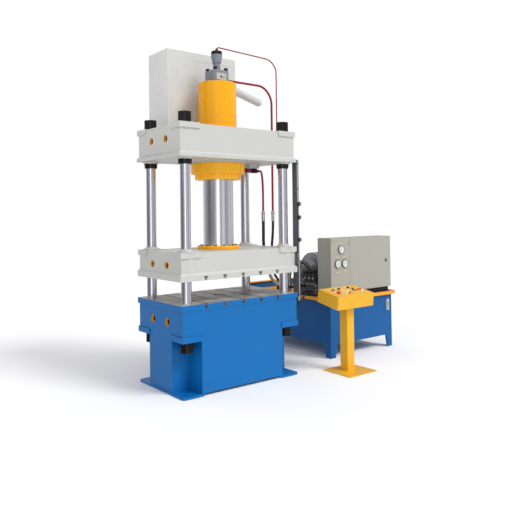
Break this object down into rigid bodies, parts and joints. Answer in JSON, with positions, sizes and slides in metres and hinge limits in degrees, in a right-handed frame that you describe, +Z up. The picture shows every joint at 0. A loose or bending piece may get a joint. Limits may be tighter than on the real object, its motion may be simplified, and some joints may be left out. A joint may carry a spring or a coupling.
{
  "type": "hydraulic press",
  "caption": "Upright pillar press with a hydraulic ram, sliding platen, slotted table, overhead filling tank, floor-standing oil power unit and push-button console.",
  "frame": {"origin": "on the ram's axis at floor level", "axes": "+Z up, +X along the long front towards the oil power unit, +Y to the back"},
  "size_m": [2.999, 2.016, 3.1328],
  "materials": {
    "base_paint": "gloss blue paint",
    "table_steel": "ground steel with worn edges",
    "column_chrome": "hard chrome",
    "black_nuts": "black oxide",
    "crown_paint": "cream gloss paint",
    "slide_paint": "cream gloss paint",
    "bush_bronze": "machined bronze",
    "cylinder_paint": "orange-yellow gloss paint",
    "ring_paint": "orange-yellow gloss paint",
    "packing_rubber": "nitrile seal",
    "ram_chrome": "hard chrome",
    "ram_flange_paint": "orange-yellow gloss paint",
    "tank_paint": "cream gloss paint",
    "valve_paint": "grey enamel",
    "black_steel": "black oxide",
    "pipe_steel": "zinc-plated tube",
    "pipe_red": "dark red painted tube",
    "hose_rubber": "wrapped rubber",
    "rail_paint": "light grey paint",
    "switch_plastic": "black moulding",
    "oil_tank_paint": "gloss blue paint",
    "cover_paint": "orange-yellow gloss paint",
    "sight_glass": "clear moulding",
    "motor_paint": "grey enamel",
    "rotor_steel": "turned steel",
    "pump_iron": "painted casting",
    "manifold_steel": "machined block",
    "solenoid_black": "moulded coil",
    "cabinet_paint": "textured beige paint",
    "lock_chrome": "plated",
    "gauge_case": "plated case with a white dial",
    "gauge_glass": "clear",
    "pointer_black": "black lacquer",
    "console_paint": "yellow gloss paint",
    "button_green": "moulded",
    "button_black": "moulded",
    "button_red": "moulded"
  },
  "bodies": {
    "frame": {"base_frame": "base_paint", "worktable": "table_steel", "columns": "column_chrome", "upper_column_nuts": "black_nuts", "lower_column_nuts": "black_nuts", "crown_collars": "black_nuts", "crown": "crown_paint", "main_cylinder": "cylinder_paint", "cylinder_lock_nut": "ring_paint", "gland_ring": "ring_paint", "ram_guide_bush": "bush_bronze", "ram_packing": "packing_rubber", "filling_tank": "tank_paint", "filling_duct": "tank_paint", "prefill_valve": "valve_paint", "pilot_cap": "valve_paint", "valve_fasteners": "black_steel", "pilot_line": "pipe_red", "pressure_pipe": "pipe_red", "return_pipe": "pipe_red", "pipe_fittings": "black_steel", "pressure_hose": "hose_rubber", "return_hose": "hose_rubber", "ejector_hose_front": "hose_rubber", "ejector_hose_rear": "hose_rubber", "ejector_cylinder": "base_paint", "limit_rail": "rail_paint", "limit_switches": "switch_plastic", "oil_tank": "oil_tank_paint", "tank_cover": "cover_paint", "level_gauge": "sight_glass", "tank_fittings": "black_steel", "motor_housing": "motor_paint", "pump": "pump_iron", "valve_manifold": "manifold_steel", "solenoid_valves": "solenoid_black", "pump_pipes": "pipe_steel", "cabinet": "cabinet_paint", "pressure_gauges": "gauge_case", "gauge_glasses": "gauge_glass", "console_stand": "console_paint", "console_box": "console_paint"},
    "slide": {"slide_block": "slide_paint", "guide_bushes": "bush_bronze", "ram": "ram_chrome", "piston_seal": "packing_rubber", "ram_flange": "ram_flange_paint", "trip_bracket": "black_steel"},
    "ejector": {"ejector_rod": "ram_chrome"},
    "rotor": {"motor_rotor": "rotor_steel"},
    "door": {"cabinet_door": "cabinet_paint"},
    "lock": {"door_lock": "lock_chrome"},
    "pointer_main": {"gauge_pointer_main": "pointer_black"},
    "pointer_return": {"gauge_pointer_return": "pointer_black"},
    "pointer_ejector": {"gauge_pointer_ejector": "pointer_black"},
    "green": {"green_button": "button_green"},
    "black_left": {"black_button_left": "button_black"},
    "black_right": {"black_button_right": "button_black"},
    "selector": {"selector_switch": "button_black"},
    "stop": {"emergency_stop": "button_red"}
  },
  "joints": [
    {"name": "ram_slide", "type": "slide", "parent": "frame", "child": "slide", "axis": [0, 0, 1], "range_m": [-0.1, 0.42]},
    {"name": "ejector_slide", "type": "slide", "parent": "frame", "child": "ejector", "axis": [0, 0, 1], "range_m": [0, 0.15]},
    {"name": "motor_spin", "type": "hinge", "parent": "frame", "child": "rotor", "pos_m": [1.6, 0.345, 0.905], "axis": [1, 0, 0], "continuous": true},
    {"name": "door_hinge", "type": "hinge", "parent": "frame", "child": "door", "pos_m": [1.619, -0.176, 0.98], "axis": [0, 0, -1], "range_deg": [0, 110]},
    {"name": "lock_turn", "type": "hinge", "parent": "door", "child": "lock", "pos_m": [2.224, -0.176, 0.994], "axis": [0, -1, 0], "range_deg": [0, 90]},
    {"name": "main_gauge", "type": "hinge", "parent": "frame", "child": "pointer_main", "pos_m": [1.48, -0.181, 1.147], "axis": [0, 1, 0], "range_deg": [0, 270], "stiffness_Nm_per_rad": 0.002, "springref_deg": -11.46},
    {"name": "return_gauge", "type": "hinge", "parent": "frame", "child": "pointer_return", "pos_m": [1.425, -0.181, 0.995], "axis": [0, 1, 0], "range_deg": [0, 270], "stiffness_Nm_per_rad": 0.002, "springref_deg": -11.46},
    {"name": "ejector_gauge", "type": "hinge", "parent": "frame", "child": "pointer_ejector", "pos_m": [1.533, -0.181, 0.995], "axis": [0, 1, 0], "range_deg": [0, 270], "stiffness_Nm_per_rad": 0.002, "springref_deg": -11.46},
    {"name": "green_press", "type": "slide", "parent": "frame", "child": "green", "axis": [0, 0.1918, -0.9814], "range_m": [0, 0.004], "stiffness_N_per_m": 400, "springref_m": -0.006},
    {"name": "black_left_press", "type": "slide", "parent": "frame", "child": "black_left", "axis": [0, 0.1918, -0.9814], "range_m": [0, 0.004], "stiffness_N_per_m": 400, "springref_m": -0.006},
    {"name": "black_right_press", "type": "slide", "parent": "frame", "child": "black_right", "axis": [0, 0.1918, -0.9814], "range_m": [0, 0.004], "stiffness_N_per_m": 400, "springref_m": -0.006},
    {"name": "stop_press", "type": "slide", "parent": "frame", "child": "stop", "axis": [0, 0.1918, -0.9814], "range_m": [0, 0.004]},
    {"name": "selector_turn", "type": "hinge", "parent": "frame", "child": "selector", "pos_m": [1.196, -0.608, 0.7738], "axis": [0, -0.1918, 0.9814], "range_deg": [-45, 45]}
  ]
}
